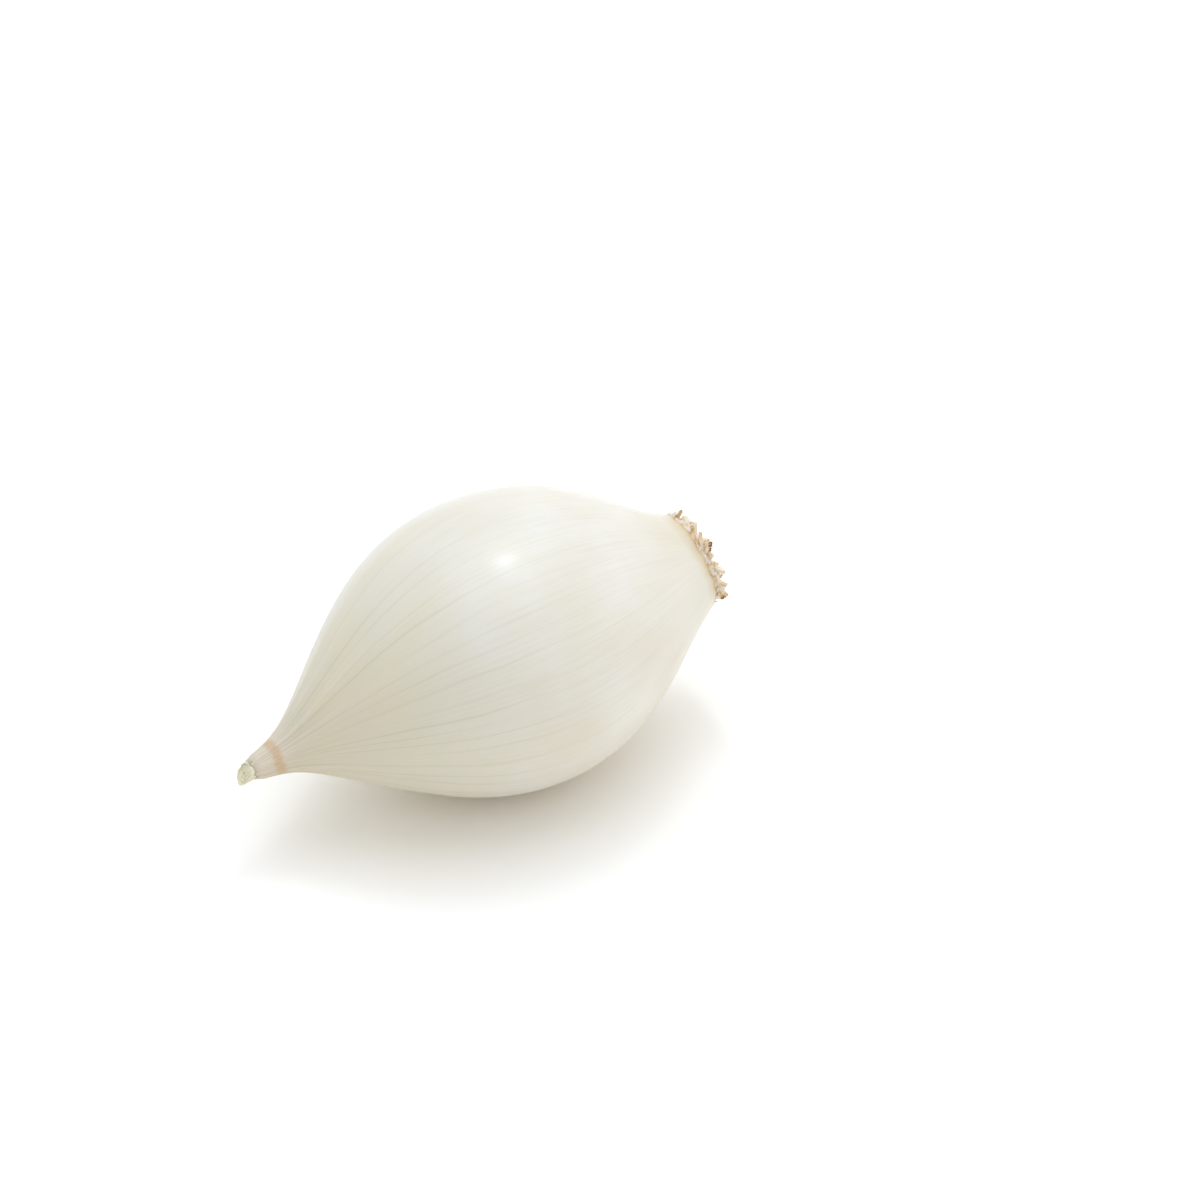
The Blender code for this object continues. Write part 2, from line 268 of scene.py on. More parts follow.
bulb_points, bulb_faces, bulb_growth = revolved(bulb_profile(), BULB_SIDES, bulb_shape)
lay_down = np.array(Matrix.Rotation(-(math.pi / 2 + DIP), 3, "Y"))
lying = bent(bulb_points) @ lay_down.T

# The onion lies where its solid does: the root rim is furthest along X, and the flat is the floor.
solid_low, solid_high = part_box("bulb")
shift = np.array((
    solid_high.x - lying[:, 0].max(),
    (solid_low.y + solid_high.y - lying[:, 1].min() - lying[:, 1].max()) / 2,
    -(lying[:, 2].min() + FLAT_DEPTH),
))


def laid_piece(name, points, faces, growth):
    """An object from points of the straight, upright onion, laid down with the rest. Growth stays on it as an
    attribute, for the patterns that follow the way the onion grew."""
    placed = bent(points) @ lay_down.T + shift
    placed[:, 2] = np.maximum(placed[:, 2], 0)
    mesh = bpy.data.meshes.new(name)
    mesh.from_pydata(placed.tolist(), [], faces)
    mesh.attributes.new("growth", "FLOAT_VECTOR", "POINT").data.foreach_set("vector", growth.ravel())
    mesh.shade_smooth()
    obj = bpy.data.objects.new(name, mesh)
    bpy.context.scene.collection.objects.link(obj)
    return obj


def colour(code):
    """A linear colour from an sRGB hex value."""
    shares = [int(code[i : i + 2], 16) / 255 for i in (1, 3, 5)]
    return (*[s / 12.92 if s <= 0.04045 else ((s + 0.055) / 1.055) ** 2.4 for s in shares], 1)


def add(tree, kind, inputs=(), **settings):
    """Adds a node. Inputs are (socket, value) pairs, where the value is a number, a colour, another node's
    socket, or a node, which stands for its first socket."""
    node = tree.nodes.new("ShaderNode" + kind)
    for name, value in settings.items():
        setattr(node, name, value)
    for socket, value in inputs:
        if isinstance(value, bpy.types.Node):
            value = value.outputs[0]
        if isinstance(value, bpy.types.NodeSocket):
            tree.links.new(value, node.inputs[socket])
        else:
            node.inputs[socket].default_value = value
    return node


def finish_of(name):
    """A new material with only its output, and its node tree."""
    material = bpy.data.materials.new(name)
    material.use_nodes = True
    tree = material.node_tree
    tree.nodes.remove(tree.nodes["Principled BSDF"])
    return material, tree


def shades(ramp_node, stops):
    """Gives a colour ramp its (place, colour) stops."""
    ramp = ramp_node.color_ramp
    while len(ramp.elements) < len(stops):
        ramp.elements.new(0.5)
    for element, (at, code) in zip(ramp.elements, stops):
        element.position = at
        element.color = colour(code)


# The patterns of the flesh follow its growth. Each has its size across, as it is on the belly, and along the
# onion, and its detail. Towards the neck they narrow with it.
FLESH_PATTERNS = (
    ("vein_wave", 7.0 * MM, 12.93 * MM, 2.0),
    ("vein_strength", 3.182 * MM, 52.9 * MM, 2.0),
    ("silk", 0.5 * MM, 16.63 * MM, 3.0),
    ("stain", 21.88 * MM, 12.93 * MM, 3.0),
    ("ring_edge", 11.67 * MM, 14.55 * MM, 3.0),
    ("ring_streaks", 1.458 * MM, 29.1 * MM, 2.0),
    # Painted shade: streaks that darken the bottoms of the neck's folds
    ("painted_fold_streaks", 1.944 * MM, 48.5 * MM, 2.0),
)
CLOUD_SIZE = 20 * MM
GRAIN_SIZE = 0.9 * MM
VEIN_STRENGTH = 0.31


def onion_flesh():
    """Onion flesh under its own thin wax: white, faintly green where it was shaded less, and lit from within.
    Towards the neck it is darker, partly its own tone and partly painted shade, with painted shade in the
    neck's folds.
    The wax makes its highlight soft. The veins are a little darker and olive, and fade towards the roots."""
    material, tree = finish_of("onion_flesh")
    growth = add(tree, "Attribute", attribute_name="growth").outputs["Vector"]
    place = add(tree, "TexCoord").outputs["Object"]
    parts = add(tree, "SeparateXYZ", [(0, growth)])
    share = parts.outputs["Z"]
    across = [(0, parts.outputs["Y"]), (1, parts.outputs["X"])]
    angle = add(tree, "Math", across, operation="ARCTAN2")
    pattern = {}
    for name, wide, long, detail in FLESH_PATTERNS:
        stretch = (BELLY_RADIUS / wide, BELLY_RADIUS / wide, BULB_HEIGHT / long)
        at = add(tree, "VectorMath", [(0, growth), (1, stretch)], operation="MULTIPLY")
        pattern[name] = add(tree, "TexNoise", [("Vector", at), ("Scale", 1.0), ("Detail", detail)])

    # The veins: spaced as their grooves are, a little wavy, and each with a strength of its own
    wandered = angle
    for times, size, phase in VEIN_WANDER:
        turned = add(tree, "Math", [(0, angle), (1, times), (2, phase)], operation="MULTIPLY_ADD")
        swing = add(tree, "Math", [(0, turned)], operation="SINE")
        wandered = add(tree, "Math", [(0, swing), (1, size), (2, wandered)], operation="MULTIPLY_ADD")
    wavy = [(0, pattern["vein_wave"]), (1, 0.045), (2, wandered)]
    wandered = add(tree, "Math", wavy, operation="MULTIPLY_ADD")
    counted = add(tree, "Math", [(0, wandered), (1, VEIN_COUNT)], operation="MULTIPLY")
    crest = add(tree, "Math", [(0, counted)], operation="COSINE")
    width = add(tree, "MapRange", [(0, share), (1, 0.40), (2, 0.85), (3, 0.92), (4, 0.55)])
    bold = add(tree, "MapRange", [(0, crest), (1, width), (2, 1.0)], interpolation_type="SMOOTHSTEP")
    # Three times as many faint ones
    finer = add(tree, "Math", [(0, counted), (1, 3.0), (2, 1.2)], operation="MULTIPLY_ADD")
    finer = add(tree, "Math", [(0, finer)], operation="COSINE")
    faint = add(tree, "MapRange", [(0, finer), (1, 0.5), (2, 1.0), (4, 0.26)])
    veins = add(tree, "Math", [(0, bold), (1, faint)], operation="MAXIMUM")
    own = add(tree, "MapRange", [(0, pattern["vein_strength"]), (1, 0.36), (2, 0.64), (3, 0.10), (4, 1.0)])
    up_bulb = add(tree, "MapRange", [(0, share), (1, 0.40), (2, 0.90), (3, 0.14), (4, 1.35)])
    for factor in (own, up_bulb, VEIN_STRENGTH):
        veins = add(tree, "Math", [(0, veins), (1, factor)], operation="MULTIPLY")

    # Soft clouds in the flesh, in which the veins are browner too, and silky fibres between the veins
    clouds = add(tree, "TexNoise", [("Vector", place), ("Scale", 1 / CLOUD_SIZE), ("Detail", 2.0)])
    cloudy = add(tree, "MapRange", [(0, clouds), (1, 0.35), (2, 0.7), (4, 0.42)])
    hues = [(0, cloudy), (6, colour("#B3AD86")), (7, colour("#B8A077"))]
    vein_hue = add(tree, "Mix", hues, data_type="RGBA").outputs[2]
    silky = add(tree, "MapRange", [(0, pattern["silk"]), (1, 0.45), (2, 0.75), (4, 0.25)])

    # The stain that the root plate left: a tan seam at the rim, which reaches further up in some places
    reach = add(tree, "MapRange", [(0, pattern["stain"]), (1, 0.35), (2, 0.72), (3, 0.003), (4, 0.034)])
    stained = add(tree, "MapRange", [(0, share), (1, reach), (2, 0.0), (4, 0.42)])

    # The tan ring that the dry skins left on the neck: 2 mm wide, wavy at its edges, with fine light streaks
    edge = [(0, pattern["ring_edge"]), (1, 0.018), (2, share)]
    edge = add(tree, "Math", edge, operation="MULTIPLY_ADD")
    start = add(tree, "MapRange", [(0, edge), (1, 0.941), (2, 0.951)], interpolation_type="SMOOTHSTEP")
    stop = add(tree, "MapRange", [(0, edge), (1, 0.957), (2, 0.968)], interpolation_type="SMOOTHSTEP")
    ring = add(tree, "Math", [(0, start), (1, stop)], operation="SUBTRACT")
    streaked = [(0, pattern["ring_streaks"]), (1, 0.36), (2, 0.60), (3, 0.25), (4, 1.0)]
    streaked = add(tree, "MapRange", streaked)
    ring = add(tree, "Math", [(0, ring), (1, streaked)], operation="MULTIPLY")

    # Painted shade: brownish streaks along the drawn-in neck stand in for the shade at the bottoms of its
    # folds
    fold_shade = add(tree, "MapRange", [(0, pattern["painted_fold_streaks"]), (1, 0.50), (2, 0.64), (4, 0.36)])
    drawn_in = add(tree, "MapRange", [(0, share), (1, 0.80), (2, 0.93)])
    fold_shade = add(tree, "Math", [(0, fold_shade), (1, drawn_in)], operation="MULTIPLY")

    # The colour of the flesh from the rim to the neck's end, and what lies over it, from the lowest up. It
    # grows darker towards the neck: partly the flesh's own greener tone there, partly painted shade.
    base = add(tree, "ValToRGB", [(0, share)])
    shades(base, (
        (0.000, "#D3B485"),
        (0.006, "#DCD2BC"),
        (0.024, "#E4E0D5"),
        (0.280, "#E6E4DD"),
        (0.550, "#DAD9D1"),
        (0.760, "#CDCBBC"),
        (0.900, "#C8C4B4"),
        (0.935, "#D0C5B8"),
        (0.985, "#D3C9BC"),
        (1.000, "#D0CAB5"),
    ))
    for mask, tint in (
        (cloudy, colour("#D7CEB4")),
        (silky, colour("#CBC5AE")),
        (veins, vein_hue),
        (stained, colour("#D2B684")),
        (ring, colour("#C4A67C")),
        # painted shade in the neck's folds
        (fold_shade, colour("#B3A285")),
    ):
        base = add(tree, "Mix", [(0, mask), (6, base), (7, tint)], data_type="RGBA").outputs[2]

    # The neck is dry and papery: it is rougher, and less light scatters in it
    papery = add(tree, "MapRange", [(0, share), (1, 0.86), (2, 0.95)])
    rough = add(tree, "MapRange", [(0, papery), (3, 0.40), (4, 0.62)])
    fleshy = add(tree, "MapRange", [(0, papery), (3, 0.55), (4, 0.10)])
    grain = add(tree, "TexNoise", [("Vector", place), ("Scale", 1 / GRAIN_SIZE), ("Detail", 3.0)])
    speckled = add(tree, "MapRange", [(0, grain), (3, -0.06), (4, 0.06)])
    rough = add(tree, "Math", [(0, rough), (1, speckled)], operation="ADD")
    relief = add(tree, "Math", [(0, pattern["silk"]), (1, grain)], operation="ADD")
    bump = add(tree, "Bump", [("Height", relief), ("Strength", 0.35), ("Distance", 0.05 * MM)])

    shader = add(tree, "BsdfPrincipled", [
        ("Base Color", base),
        ("Roughness", rough),
        ("IOR", 1.45),
        ("Subsurface Weight", fleshy),
        ("Subsurface Radius", (1.0, 0.75, 0.5)),
        ("Subsurface Scale", 3.0 * MM),
        ("Coat Weight", 0.40),
        ("Coat Roughness", 0.20),
        ("Normal", bump),
    ])
    tree.links.new(shader.outputs[0], tree.nodes["Material Output"].inputs["Surface"])
    return material


bulb = laid_piece("bulb_skin", bulb_points, bulb_faces, bulb_growth)
bulb.data.materials.append(onion_flesh())
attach(bulb, "root")
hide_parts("bulb")


# The root plate
# The short stem of the onion, which dries to a pale tan cork. It fills the base, with a lumpy rim that stands
# a little out of the flesh and a rough scar in its middle. Roots grow from all of it but the scar.

GAP = 0.02 * MM
PLATE_DOME = 2.6 * MM
PLATE_RIM_BULGE = 0.45 * MM
PLATE_SCAR_DEPTH = 0.7 * MM
PLATE_SCAR_RADIUS = 3.0 * MM
PLATE_RINGS = 70
PLATE_SIDES = 260
PLATE_EDGE = 7.0 * MM  # from here outwards the lumps also go sideways
RIM_RADIUS = SEAT_RADIUS - GAP + SEAT_LIP
# The lumps, crumbs and grit of the cork: size across, height in millimetres, and seed
CORK_LUMPS = ((1.9 * MM, 0.34, 1), (0.7 * MM, 0.16, 5), (0.3 * MM, 0.06, 9))
CRACK_SPACING = 1.2 * MM
CRACK_DEPTH = 0.30


def plate_profile():
    """From the seat round the bulging rim and over the low dome."""
    dome = [(0, -PLATE_DOME - GAP)]
    for i in range(1, PLATE_RINGS + 1):
        slope = math.radians(90) * (i / PLATE_RINGS) ** 1.6
        radius = (RIM_RADIUS + PLATE_RIM_BULGE) * math.sin(slope) ** 0.4
        dome.append((radius, -PLATE_DOME * math.cos(slope) - GAP))
    seat = SEAT_RADIUS - GAP
    back = [(RIM_RADIUS - 2 * GAP, GAP), (seat, SEAT_DEPTH - GAP), (0, SEAT_DEPTH - GAP)]
    return (dome + back)[::-1]


def plate_shape(angle, radius, height):
    """The surface of the cork, with its scar. The mark tells how far a point stands out, for the colour."""
    outside = eased(-height / (0.6 * PLATE_DOME))
    scar = PLATE_SCAR_DEPTH * np.exp(-((radius / PLATE_SCAR_RADIUS) ** 2))
    points = around_axis(angle, radius, height)
    lumps = sum(high * uneven(points, size, seed) for size, high, seed in CORK_LUMPS)
    cracks = np.clip(1 - np.abs(uneven(points, CRACK_SPACING, 13)) * 5, 0, 1)
    out = (lumps - CRACK_DEPTH * cracks).reshape(angle.shape)
    sideways = outside * out * MM * grown(radius, PLATE_EDGE, PLATE_EDGE + 2 * MM)
    rim = RIM_WAVES * rim_waves(angle) * grown(radius, 0, 6 * MM)
    return radius + sideways, height + outside * (scar - out * MM) + rim, 0.5 + 0.9 * out


def dry_cork():
    """Cork that dried on the onion: matte and crumbly, pale tan on its lumps and brown in its cracks."""
    material, tree = finish_of("dry_cork")
    place = add(tree, "TexCoord").outputs["Object"]
    growth = add(tree, "Attribute", attribute_name="growth").outputs["Vector"]
    raised = add(tree, "SeparateXYZ", [(0, growth)]).outputs["Z"]
    blotches = add(tree, "TexNoise", [("Vector", place), ("Scale", 1 / (2.5 * MM)), ("Detail", 4.0)])
    crumbs = add(tree, "TexNoise", [("Vector", place), ("Scale", 1 / (0.4 * MM)), ("Detail", 4.0)])
    tone = raised
    for pattern, share in ((blotches, 0.7), (crumbs, 0.3)):
        tone = add(tree, "Math", [(0, pattern), (1, share), (2, tone)], operation="MULTIPLY_ADD")
    tone = add(tree, "MapRange", [(0, tone), (1, 0.25), (2, 1.45)])
    base = add(tree, "ValToRGB", [(0, tone)])
    shades(base, ((0.10, "#8E663C"), (0.34, "#C49B66"), (0.52, "#D9BC91"), (0.78, "#E4D6C1")))
    bump = add(tree, "Bump", [("Height", crumbs), ("Strength", 0.7), ("Distance", 0.2 * MM)])
    shader = add(tree, "BsdfPrincipled", [
        ("Base Color", base),
        ("Roughness", 0.88),
        ("Normal", bump),
    ])
    tree.links.new(shader.outputs[0], tree.nodes["Material Output"].inputs["Surface"])
    return material


plate = laid_piece("cork_plate", *revolved(plate_profile(), PLATE_SIDES, plate_shape))
plate.data.materials.append(dry_cork())
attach(plate, "root")
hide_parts("root_plate")


# The roots
# Old roots, trimmed short and dried where they stood. Each is a shrivelled, flattened stub with lengthwise
# ridges, pinkish white at its foot, with a ragged brown cut. They crowd the rim and lean outwards over it.

# Number, share of the plate's radius, lean outwards, least and greatest turn sideways, greatest thickness and
# greatest length. Those of the first row lie along the rim.
ROOT_RINGS = (
    (11, 1.00, 86, 68, 88, 2.4 * MM, 4.2 * MM),
    (32, 0.95, 76, 0, 65, 2.3 * MM, 2.7 * MM),
    (26, 0.76, 70, 15, 85, 2.1 * MM, 3.0 * MM),
    (18, 0.56, 64, 20, 90, 1.9 * MM, 3.0 * MM),
    (9, 0.33, 44, 0, 60, 1.6 * MM, 1.6 * MM),
)
ROOT_SUNK = 1.5 * MM
ROOT_CURL = 0.45
ROOT_LEAN_SPREAD = 10
ROOT_PLACE_SPREAD = 0.3  # share of the space between two roots of a ring
ROOT_RING_SPREAD = 0.04
ROOT_THINNEST = 0.55  # share of the greatest thickness
ROOT_SHORTEST = 0.35  # share of the greatest length
ROOT_TAPER = 0.35
ROOT_POINTS = 20
ROOT_SIDES = 18
SOLID_GAP = 0.3 * MM
# The cut end, as shares of the root's thickness and steps back from the cut
CUT_END = ((0.86, -0.04 * MM), (0.66, 0.10 * MM), (0.34, 0.16 * MM))
RIDGE_ORDERS = (2, 4, 5, 7)
RIDGE_HEIGHT = (0.05, 0.10)  # share of the root's radius
WAISTS = 0.14  # a root shrinks by up to this share in places
FLATTENED = (0.6, 0.9)
JAGGED_ORDERS = (3, 5, 8)
JAGGED = 0.12 * MM
WRINKLE_SIZE = 0.45 * MM
WRINKLE_HEIGHT = 0.05 * MM


def frames(line):
    """At each point of a line, the way ahead and two directions across it."""
    ahead = np.gradient(line, axis=0)
    ahead /= np.linalg.norm(ahead, axis=1)[:, None]
    side = np.cross(ahead[0], (0.31, 0.83, 0.47))
    sides = []
    for forward in ahead:
        side = side - forward * side.dot(forward)
        side /= np.linalg.norm(side)
        sides.append(side)
    sides = np.array(sides)
    return ahead, sides, np.cross(ahead, sides)


def tube_faces(rings, sides):
    """The faces of a closed tube from rings of points, with its two ends capped."""
    faces = []
    for row in range(rings - 1):
        for i in range(sides):
            j = (i + 1) % sides
            here, above = row * sides, (row + 1) * sides
            faces.append((here + i, here + j, above + j, above + i))
    faces.append(tuple(range(sides))[::-1])
    faces.append(tuple(range((rings - 1) * sides, rings * sides)))
    return faces


def joined(parts):
    """Several sets of points, faces and growth as one."""
    starts = np.cumsum([0] + [len(points) for points, _, _ in parts])
    faces = [tuple(start + i for i in face) for start, (_, own, _) in zip(starts, parts) for face in own]
    return np.vstack([part[0] for part in parts]), faces, np.vstack([part[2] for part in parts])


def root_line(angle, share, lean, turn, thickness, length, draw):
    """The points along one root, from inside the plate outwards, as the solid has them."""
    out = np.array((math.cos(angle), math.sin(angle), 0))
    side = np.array((-math.sin(angle), math.cos(angle), 0))
    dome = PLATE_DOME * math.sqrt(max(1 - share**4, 0)) - PLATE_SCAR_DEPTH * (1 - share) ** 2
    foot = out * (SEAT_RADIUS * share) - (0, 0, max(dome, thickness / 2 + 2 * SOLID_GAP))
    flat = out * math.cos(turn) + side * math.sin(turn)
    heading = flat * math.sin(lean) - np.array((0, 0, math.cos(lean)))
    curl = np.array((draw.uniform(-1, 1), draw.uniform(-1, 1), draw.uniform(-1, 0))) * ROOT_CURL
    along = np.linspace(0, 1, ROOT_POINTS)[:, None]
    return foot - heading * ROOT_SUNK + heading * (length + ROOT_SUNK) * along + curl * length * along**2


def shrivelled(line, thickness, looks):
    """One dried root. Its growth is the share along it, a tone of its own, and how deep a point lies."""
    along = np.linspace(0, 1, len(line))[:, None]
    angle = np.arange(ROOT_SIDES)[None, :] * TURN / ROOT_SIDES
    ridges = sum(
        looks.uniform(*RIDGE_HEIGHT)
        * np.cos(n * angle + looks.uniform(0, TURN) + looks.uniform(-1.5, 1.5) * along)
        for n in RIDGE_ORDERS
    )
    shrunk = WAISTS * looks.random() * np.sin(along * looks.uniform(6, 12) + looks.uniform(0, 6)) ** 2
    swell = (1 + ridges) * (1 - ROOT_TAPER * along) * (1 - shrunk)
    ahead, side, other = frames(line)
    flat = looks.uniform(*FLATTENED)
    across = np.cos(angle)[..., None] * side[:, None] + flat * np.sin(angle)[..., None] * other[:, None]
    jagged = JAGGED * sum(np.cos(n * angle + looks.uniform(0, TURN)) for n in JAGGED_ORDERS) * along**6
    rings = line[:, None] + across * (swell * thickness / 2)[..., None] + ahead[:, None] * jagged[..., None]
    deep = np.clip(0.5 - 2.2 * ridges, 0, 1) * np.ones_like(swell)
    middle = rings[-1].mean(axis=0)
    ends = [middle + (rings[-1] - middle) * share - ahead[-1] * back for share, back in CUT_END]
    points = np.vstack([rings.reshape(-1, 3)] + ends)
    cut = np.ones(ROOT_SIDES * len(CUT_END))
    reach = np.append(np.repeat(along, ROOT_SIDES), cut)
    depth = np.append(deep.ravel(), cut)
    wrinkles_in = uneven(points, WRINKLE_SIZE, looks.randint(0, 99)) * WRINKLE_HEIGHT
    core = np.repeat(np.vstack([line] + [line[-1:]] * len(CUT_END)), ROOT_SIDES, axis=0)
    points = points + wrinkles_in[:, None] * (points - core) / (thickness / 2)
    growth = np.stack([reach, np.full(len(points), looks.random()), depth], axis=1)
    return points, tube_faces(len(line) + len(CUT_END), ROOT_SIDES), growth


def root_stubs():
    """All the roots, drawn in the order in which the solid has them."""
    draw = random.Random(SEED)
    looks = random.Random(SEED + 7)
    stubs = []
    for count, share, lean, least_turned, most_turned, thickest, longest in ROOT_RINGS:
        for i in range(count):
            angle = TURN * (i + draw.uniform(-ROOT_PLACE_SPREAD, ROOT_PLACE_SPREAD)) / count
            leaning = math.radians(lean + draw.uniform(-ROOT_LEAN_SPREAD, ROOT_LEAN_SPREAD))
            turn = math.radians(draw.uniform(least_turned, most_turned)) * draw.choice((-1, 1))
            placed = share + draw.uniform(-ROOT_RING_SPREAD, ROOT_RING_SPREAD)
            thickness = thickest * draw.uniform(ROOT_THINNEST, 1)
            length = longest * draw.uniform(ROOT_SHORTEST, 1)
            line = root_line(angle, placed, leaning, turn, thickness, length, draw)
            stubs.append(shrivelled(line, thickness, looks))
    return joined(stubs)


def dry_root():
    """A dried root: matte and fibrous, pinkish white to straw, browner in its grooves, brown at the cut."""
    material, tree = finish_of("dry_root")
    growth = add(tree, "Attribute", attribute_name="growth").outputs["Vector"]
    parts = add(tree, "SeparateXYZ", [(0, growth)])
    along, own, deep = parts.outputs["X"], parts.outputs["Y"], parts.outputs["Z"]
    place = add(tree, "TexCoord").outputs["Object"]
    patches = add(tree, "TexNoise", [("Vector", place), ("Scale", 1 / (1.0 * MM)), ("Detail", 4.0)])
    fibres = add(tree, "TexNoise", [("Vector", place), ("Scale", 1 / (0.3 * MM)), ("Detail", 3.0)])
    old = add(tree, "Math", [(0, own), (1, 5.0)], operation="POWER")
    far = add(tree, "Math", [(0, along), (1, 3.0)], operation="POWER")
    aged = add(tree, "Math", [(0, far), (1, old)], operation="MULTIPLY")
    for cause, share in ((deep, 0.34), (patches, 0.7), (own, 0.26)):
        aged = add(tree, "Math", [(0, cause), (1, share), (2, aged)], operation="MULTIPLY_ADD")
    aged = add(tree, "MapRange", [(0, aged), (1, 0.28), (2, 1.35)])
    base = add(tree, "ValToRGB", [(0, aged)])
    shades(base, (
        (0.00, "#EFE6DA"),
        (0.34, "#E9DCC8"),
        (0.56, "#DFC599"),
        (0.78, "#BA9052"),
        (1.00, "#7A5930"),
    ))
    bump = add(tree, "Bump", [("Height", fibres), ("Strength", 0.6), ("Distance", 0.12 * MM)])
    shader = add(tree, "BsdfPrincipled", [
        ("Base Color", base),
        ("Roughness", 0.8),
        ("Subsurface Weight", 0.15),
        ("Subsurface Radius", (1.0, 0.85, 0.7)),
        ("Subsurface Scale", 0.6 * MM),
        ("Normal", bump),
    ])
    tree.links.new(shader.outputs[0], tree.nodes["Material Output"].inputs["Surface"])
    return material


root_finish = dry_root()
roots = laid_piece("root_stubs", *root_stubs())
roots.data.materials.append(root_finish)
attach(roots, "root")
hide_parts("root_plate")


# The root hairs
# Fine dry rootlets between the stubs, some curled back over the rim. They are as matte as the roots.

HAIR_COUNT = 130
HAIR_POINTS = 12
HAIR_SIDES = 5
HAIR_LENGTHS = (1.2, 3.6)  # millimetres
HAIR_HALF_WIDTHS = (0.05, 0.12)
HAIR_SUNK = 0.4 * MM


def root_hairs():
    """Each hair starts in the cork, leans out as the dome does there, and curls on its way."""
    looks = random.Random(SEED + 9)
    hairs = []
    for _ in range(HAIR_COUNT):
        angle = looks.uniform(0, TURN)
        share = math.sqrt(looks.uniform(0.05, 1.0))
        out = np.array((math.cos(angle), math.sin(angle), 0))
        side = np.array((-math.sin(angle), math.cos(angle), 0))
        dome = PLATE_DOME * math.sqrt(max(1 - share**4, 0.05))
        lean = math.radians(90 * share - 10 + looks.uniform(-25, 25))
        length = looks.uniform(*HAIR_LENGTHS) * MM
        sideways = side * looks.uniform(-0.6, 0.6)
        heading = out * math.sin(lean) + sideways - np.array((0, 0, math.cos(lean) + 0.15))
        heading /= np.linalg.norm(heading)
        along = np.linspace(0, 1, HAIR_POINTS)[:, None]
        curl = side * looks.uniform(-1, 1) + out * looks.uniform(-0.7, 0.3)
        curl = curl - np.array((0, 0, looks.uniform(-0.1, 0.9)))
        kink = looks.uniform(-0.12, 0.12) * np.sin(along * looks.uniform(5, 14))
        line = out * SEAT_RADIUS * share * 0.98 - (0, 0, dome - HAIR_SUNK)
        line = line + length * (heading * along + 0.6 * curl * along**2 + side * kink)
        ahead, across, other = frames(line)
        width = looks.uniform(*HAIR_HALF_WIDTHS) * MM * (1 - 0.8 * along)
        turn = np.arange(HAIR_SIDES)[None, :] * TURN / HAIR_SIDES
        ring = np.cos(turn)[..., None] * across[:, None] + np.sin(turn)[..., None] * other[:, None]
        points = (line[:, None] + ring * width[..., None]).reshape(-1, 3)
        reach = np.repeat(along, HAIR_SIDES)
        own = np.full(len(points), looks.uniform(0.2, 1.0))
        growth = np.stack([reach, own, np.full(len(points), 0.5)], axis=1)
        hairs.append((points, tube_faces(HAIR_POINTS, HAIR_SIDES), growth))
    return joined(hairs)


hairs = laid_piece("root_hairs", *root_hairs())
hairs.data.materials.append(root_finish)
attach(hairs, "root")
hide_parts("root_plate")


# The flakes at the rim
# What is left of the dry outer skins where they grew on the root plate: torn paper-thin shreds, whitish to
# tan, that stand in the seam between the flesh and the cork.

FLAKE_COUNT = 32
FLAKE_THICK = 0.05 * MM
FLAKE_LONG, FLAKE_WIDE = 9, 6  # points along and across
FLAKE_WIDTHS = (1.0, 3.2)  # millimetres
FLAKE_LENGTHS = (0.8, 2.4)
FLAKE_LEANS = (5, 70)  # degrees outwards
FLAKE_SPREAD = 0.45  # share of the space between two flakes
FLAKE_SUNK = 0.25 * MM


def flake_faces():
    """The faces of a thin closed sheet: its two sides and the edge round it."""
    back = FLAKE_LONG * FLAKE_WIDE
    faces = []
    for row in range(FLAKE_LONG - 1):
        for column in range(FLAKE_WIDE - 1):
            a = row * FLAKE_WIDE + column
            quad = (a, a + 1, a + FLAKE_WIDE + 1, a + FLAKE_WIDE)
            faces.append(quad[::-1])
            faces.append(tuple(back + k for k in quad))
    edge = list(range(FLAKE_WIDE))
    edge += [row * FLAKE_WIDE + FLAKE_WIDE - 1 for row in range(1, FLAKE_LONG)]
    edge += [(FLAKE_LONG - 1) * FLAKE_WIDE + column for column in range(FLAKE_WIDE - 2, -1, -1)]
    edge += [row * FLAKE_WIDE for row in range(FLAKE_LONG - 2, 0, -1)]
    for a, b in zip(edge, edge[1:] + edge[:1]):
        faces.append((a, b, back + b, back + a))
    return faces


def rim_flakes():
    """Each flake starts in the seam, leans outwards and curls, with a torn end. Its growth is the share along
    it, a tone of its own, and the share across it."""
    looks = random.Random(SEED + 12)
    flakes = []
    for i in range(FLAKE_COUNT):
        angle = TURN * (i + looks.uniform(-FLAKE_SPREAD, FLAKE_SPREAD)) / FLAKE_COUNT
        wide = looks.uniform(*FLAKE_WIDTHS) * MM
        long = looks.uniform(*FLAKE_LENGTHS) * MM
        lean = math.radians(looks.uniform(*FLAKE_LEANS))
        curl = looks.uniform(-0.9, 0.5)
        skew = looks.uniform(-0.6, 0.6)
        t, u = np.meshgrid(np.linspace(0, 1, FLAKE_LONG), np.linspace(-1, 1, FLAKE_WIDE), indexing="ij")
        torn = 1 - 0.35 * np.abs(np.sin(u * looks.uniform(2, 5) + looks.uniform(0, 6)))
        taper = 1 - looks.uniform(0.3, 0.8) * t
        turn = angle + (u * taper * wide / 2 + skew * t * long) / RIM_RADIUS
        bend = lean + curl * t
        out = RIM_RADIUS + 0.12 * MM + t * torn * long * np.sin(bend)
        down = -0.1 * MM + t * torn * long * np.cos(bend) - FLAKE_SUNK * (1 - t)
        wave = 0.12 * MM * t * np.sin(u * 4 + looks.uniform(0, 6))
        height = RIM_WAVES * rim_waves(turn) - down
        thick = (-FLAKE_THICK / 2, FLAKE_THICK / 2)
        points = np.vstack([around_axis(turn, out + wave + lift, height) for lift in thick])
        own = np.full(len(points), looks.random())
        growth = np.stack([np.tile(t.ravel(), 2), own, np.tile(u.ravel(), 2)], axis=1)
        flakes.append((points, flake_faces(), growth))
    return joined(flakes)


